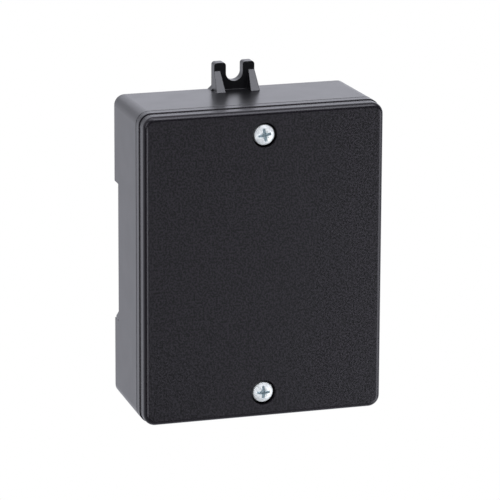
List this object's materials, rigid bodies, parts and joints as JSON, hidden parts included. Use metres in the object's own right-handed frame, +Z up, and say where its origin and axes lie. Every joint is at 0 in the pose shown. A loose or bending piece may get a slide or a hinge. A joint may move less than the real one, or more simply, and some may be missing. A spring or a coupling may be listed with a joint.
{
  "type": "relay module",
  "caption": "Black moulded relay module box with a screwed front cover, a slotted wall lug and a rail recess with a sprung latch at the back.",
  "frame": {"origin": "middle of the recess floor that seats on the mounting rail, at the case's mid-height", "axes": "+X to the right as the front is faced, +Y from the front into the wall, +Z up"},
  "size_m": [0.0708, 0.0324, 0.1048],
  "materials": {
    "housing_plastic": "satin moulded black",
    "cover_plastic": "fine spark-eroded grain, black",
    "zinc_steel": "bright zinc plate",
    "latch_plastic": "satin moulded black",
    "spring_steel": "drawn spring wire",
    "board_laminate": "green solder mask",
    "terminal_plastic": "green moulded plastic",
    "tinned_brass": "tin plated",
    "contact_brass": "bare brass with silver contacts",
    "capacitor_sleeve": "shrunk sleeve with bare aluminium end",
    "ferrite": "fired ferrite with lacquered winding",
    "chip_plastic": "moulded epoxy with tinned legs",
    "light_lens": "clear lens on a white base",
    "button_housing": "moulded black",
    "button_plunger": "moulded red",
    "terminal_steel": "zinc plate",
    "relay_case": "clear blue moulded hood",
    "former_plastic": "natural moulded nylon",
    "copper_wire": "lacquered copper wire",
    "plated_iron": "nickel plated soft iron"
  },
  "bodies": {
    "case": {"rear_housing": "housing_plastic", "circuit_board": "board_laminate", "board_screws": "zinc_steel", "terminal_block_left": "terminal_plastic", "terminal_block_right": "terminal_plastic", "terminal_bars": "tinned_brass", "relay_contacts": "contact_brass", "capacitor": "capacitor_sleeve", "choke": "ferrite", "rectifier": "chip_plastic", "driver_chip": "chip_plastic", "microcontroller": "chip_plastic", "status_lights": "light_lens", "learn_button_body": "button_housing", "latch_spring": "spring_steel", "relay_1_case": "relay_case", "relay_1_former": "former_plastic", "relay_1_winding": "copper_wire", "relay_1_yoke": "plated_iron", "relay_2_case": "relay_case", "relay_2_former": "former_plastic", "relay_2_winding": "copper_wire", "relay_2_yoke": "plated_iron", "relay_3_case": "relay_case", "relay_3_former": "former_plastic", "relay_3_winding": "copper_wire", "relay_3_yoke": "plated_iron", "relay_4_case": "relay_case", "relay_4_former": "former_plastic", "relay_4_winding": "copper_wire", "relay_4_yoke": "plated_iron"},
    "cover": {"front_cover": "cover_plastic"},
    "cover_screw_top": {"cover_screw_top": "zinc_steel"},
    "cover_screw_bottom": {"cover_screw_bottom": "zinc_steel"},
    "latch": {"rail_latch": "latch_plastic"},
    "learn_plunger": {"learn_button_plunger": "button_plunger"},
    "armature_1": {"relay_1_armature": "plated_iron"},
    "armature_2": {"relay_2_armature": "plated_iron"},
    "armature_3": {"relay_3_armature": "plated_iron"},
    "armature_4": {"relay_4_armature": "plated_iron"},
    "screw_1": {"terminal_screw_1": "terminal_steel"},
    "cage_1": {"wire_cage_1": "tinned_brass"},
    "screw_2": {"terminal_screw_2": "terminal_steel"},
    "cage_2": {"wire_cage_2": "tinned_brass"},
    "screw_3": {"terminal_screw_3": "terminal_steel"},
    "cage_3": {"wire_cage_3": "tinned_brass"},
    "screw_4": {"terminal_screw_4": "terminal_steel"},
    "cage_4": {"wire_cage_4": "tinned_brass"},
    "screw_5": {"terminal_screw_5": "terminal_steel"},
    "cage_5": {"wire_cage_5": "tinned_brass"},
    "screw_6": {"terminal_screw_6": "terminal_steel"},
    "cage_6": {"wire_cage_6": "tinned_brass"},
    "screw_7": {"terminal_screw_7": "terminal_steel"},
    "cage_7": {"wire_cage_7": "tinned_brass"},
    "screw_8": {"terminal_screw_8": "terminal_steel"},
    "cage_8": {"wire_cage_8": "tinned_brass"},
    "screw_9": {"terminal_screw_9": "terminal_steel"},
    "cage_9": {"wire_cage_9": "tinned_brass"},
    "screw_10": {"terminal_screw_10": "terminal_steel"},
    "cage_10": {"wire_cage_10": "tinned_brass"}
  },
  "joints": [
    {"name": "cover_lift", "type": "slide", "parent": "case", "child": "cover", "axis": [0, -1, 0], "range_m": [0, 0.04]},
    {"name": "cover_screw_top_turn", "type": "hinge", "parent": "cover", "child": "cover_screw_top", "pos_m": [0, -0.0259, 0.0376], "axis": [0, 1, 0], "continuous": true},
    {"name": "cover_screw_bottom_turn", "type": "hinge", "parent": "cover", "child": "cover_screw_bottom", "pos_m": [0, -0.0259, -0.0376], "axis": [0, 1, 0], "continuous": true},
    {"name": "latch_slide", "type": "slide", "parent": "case", "child": "latch", "axis": [0, 0, -1], "range_m": [0, 0.0025], "stiffness_N_per_m": 900, "springref_m": -0.002, "deforming": ["latch_spring"]},
    {"name": "learn_button_press", "type": "slide", "parent": "case", "child": "learn_plunger", "axis": [0, 1, 0], "range_m": [0, 0.00025], "stiffness_N_per_m": 4000, "springref_m": -0.0001},
    {"name": "armature_1_tilt", "type": "hinge", "parent": "case", "child": "armature_1", "pos_m": [-0.02402, -0.01892, 0.02662], "axis": [1, 0, 0], "range_deg": [0, 2.2], "stiffness_Nm_per_rad": 0.02, "springref_deg": -5.73},
    {"name": "armature_2_tilt", "type": "hinge", "parent": "case", "child": "armature_2", "pos_m": [-0.008, -0.01892, 0.02662], "axis": [1, 0, 0], "range_deg": [0, 2.2], "stiffness_Nm_per_rad": 0.02, "springref_deg": -5.73},
    {"name": "armature_3_tilt", "type": "hinge", "parent": "case", "child": "armature_3", "pos_m": [0.008, -0.01892, 0.02662], "axis": [1, 0, 0], "range_deg": [0, 2.2], "stiffness_Nm_per_rad": 0.02, "springref_deg": -5.73},
    {"name": "armature_4_tilt", "type": "hinge", "parent": "case", "child": "armature_4", "pos_m": [0.02402, -0.01892, 0.02662], "axis": [1, 0, 0], "range_deg": [0, 2.2], "stiffness_Nm_per_rad": 0.02, "springref_deg": -5.73},
    {"name": "terminal_screw_1_turn", "type": "hinge", "parent": "case", "child": "screw_1", "pos_m": [-0.02826, -0.0159, -0.03772], "axis": [0, 1, 0], "range_deg": [0, 1840.01]},
    {"name": "wire_cage_1_rise", "type": "slide", "parent": "case", "child": "cage_1", "axis": [0, -1, 0], "range_m": [0, 0.0023]},
    {"name": "terminal_screw_2_turn", "type": "hinge", "parent": "case", "child": "screw_2", "pos_m": [-0.02318, -0.0159, -0.03772], "axis": [0, 1, 0], "range_deg": [0, 1840.01]},
    {"name": "wire_cage_2_rise", "type": "slide", "parent": "case", "child": "cage_2", "axis": [0, -1, 0], "range_m": [0, 0.0023]},
    {"name": "terminal_screw_3_turn", "type": "hinge", "parent": "case", "child": "screw_3", "pos_m": [-0.0181, -0.0159, -0.03772], "axis": [0, 1, 0], "range_deg": [0, 1840.01]},
    {"name": "wire_cage_3_rise", "type": "slide", "parent": "case", "child": "cage_3", "axis": [0, -1, 0], "range_m": [0, 0.0023]},
    {"name": "terminal_screw_4_turn", "type": "hinge", "parent": "case", "child": "screw_4", "pos_m": [-0.01302, -0.0159, -0.03772], "axis": [0, 1, 0], "range_deg": [0, 1840.01]},
    {"name": "wire_cage_4_rise", "type": "slide", "parent": "case", "child": "cage_4", "axis": [0, -1, 0], "range_m": [0, 0.0023]},
    {"name": "terminal_screw_5_turn", "type": "hinge", "parent": "case", "child": "screw_5", "pos_m": [-0.00794, -0.0159, -0.03772], "axis": [0, 1, 0], "range_deg": [0, 1840.01]},
    {"name": "wire_cage_5_rise", "type": "slide", "parent": "case", "child": "cage_5", "axis": [0, -1, 0], "range_m": [0, 0.0023]},
    {"name": "terminal_screw_6_turn", "type": "hinge", "parent": "case", "child": "screw_6", "pos_m": [0.00794, -0.0159, -0.03772], "axis": [0, 1, 0], "range_deg": [0, 1840.01]},
    {"name": "wire_cage_6_rise", "type": "slide", "parent": "case", "child": "cage_6", "axis": [0, -1, 0], "range_m": [0, 0.0023]},
    {"name": "terminal_screw_7_turn", "type": "hinge", "parent": "case", "child": "screw_7", "pos_m": [0.01302, -0.0159, -0.03772], "axis": [0, 1, 0], "range_deg": [0, 1840.01]},
    {"name": "wire_cage_7_rise", "type": "slide", "parent": "case", "child": "cage_7", "axis": [0, -1, 0], "range_m": [0, 0.0023]},
    {"name": "terminal_screw_8_turn", "type": "hinge", "parent": "case", "child": "screw_8", "pos_m": [0.0181, -0.0159, -0.03772], "axis": [0, 1, 0], "range_deg": [0, 1840.01]},
    {"name": "wire_cage_8_rise", "type": "slide", "parent": "case", "child": "cage_8", "axis": [0, -1, 0], "range_m": [0, 0.0023]},
    {"name": "terminal_screw_9_turn", "type": "hinge", "parent": "case", "child": "screw_9", "pos_m": [0.02318, -0.0159, -0.03772], "axis": [0, 1, 0], "range_deg": [0, 1840.01]},
    {"name": "wire_cage_9_rise", "type": "slide", "parent": "case", "child": "cage_9", "axis": [0, -1, 0], "range_m": [0, 0.0023]},
    {"name": "terminal_screw_10_turn", "type": "hinge", "parent": "case", "child": "screw_10", "pos_m": [0.02826, -0.0159, -0.03772], "axis": [0, 1, 0], "range_deg": [0, 1840.01]},
    {"name": "wire_cage_10_rise", "type": "slide", "parent": "case", "child": "cage_10", "axis": [0, -1, 0], "range_m": [0, 0.0023]}
  ],
  "couplings": [
    {"joint": "terminal_screw_1_turn", "follows": "wire_cage_1_rise", "rad_per_m": 13963},
    {"joint": "terminal_screw_2_turn", "follows": "wire_cage_2_rise", "rad_per_m": 13963},
    {"joint": "terminal_screw_3_turn", "follows": "wire_cage_3_rise", "rad_per_m": 13963},
    {"joint": "terminal_screw_4_turn", "follows": "wire_cage_4_rise", "rad_per_m": 13963},
    {"joint": "terminal_screw_5_turn", "follows": "wire_cage_5_rise", "rad_per_m": 13963},
    {"joint": "terminal_screw_6_turn", "follows": "wire_cage_6_rise", "rad_per_m": 13963},
    {"joint": "terminal_screw_7_turn", "follows": "wire_cage_7_rise", "rad_per_m": 13963},
    {"joint": "terminal_screw_8_turn", "follows": "wire_cage_8_rise", "rad_per_m": 13963},
    {"joint": "terminal_screw_9_turn", "follows": "wire_cage_9_rise", "rad_per_m": 13963},
    {"joint": "terminal_screw_10_turn", "follows": "wire_cage_10_rise", "rad_per_m": 13963}
  ]
}
